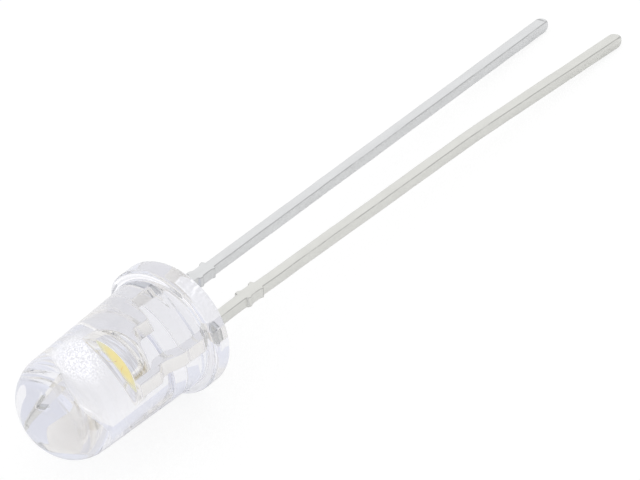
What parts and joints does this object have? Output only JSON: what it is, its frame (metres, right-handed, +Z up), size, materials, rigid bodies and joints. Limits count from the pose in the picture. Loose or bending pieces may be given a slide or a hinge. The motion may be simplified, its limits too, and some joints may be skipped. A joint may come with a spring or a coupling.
{
  "type": "through-hole light-emitting diode",
  "caption": "Clear round-lens through-hole LED: domed body with a flange and flat, square wire leads, and a phosphor-filled reflector cup inside.",
  "frame": {"origin": "centre of the flange's back face, on the lens axis, where the part seats on a board", "axes": "+X level, from the seat towards the tips of the leads; the lens axis is tilted 3.9 degrees from -X with the lens end up; +Z up from the surface that the part lies on; the cathode is at +Y and the anode at -Y"},
  "size_m": [0.0363, 0.0054, 0.0058],
  "materials": {
    "clear_epoxy": "gloss",
    "tinned_frame": "satin",
    "phosphor": "satin",
    "sapphire_die": "polished",
    "die_glue": "satin",
    "gold_wire": "polished"
  },
  "bodies": {
    "root": {"epoxy_body": "clear_epoxy", "cathode_lead": "tinned_frame", "anode_lead": "tinned_frame", "led_die": "sapphire_die", "die_attach": "die_glue", "phosphor_fill": "phosphor", "bond_wire_anode": "gold_wire", "bond_wire_cathode": "gold_wire"}
  },
  "joints": []
}
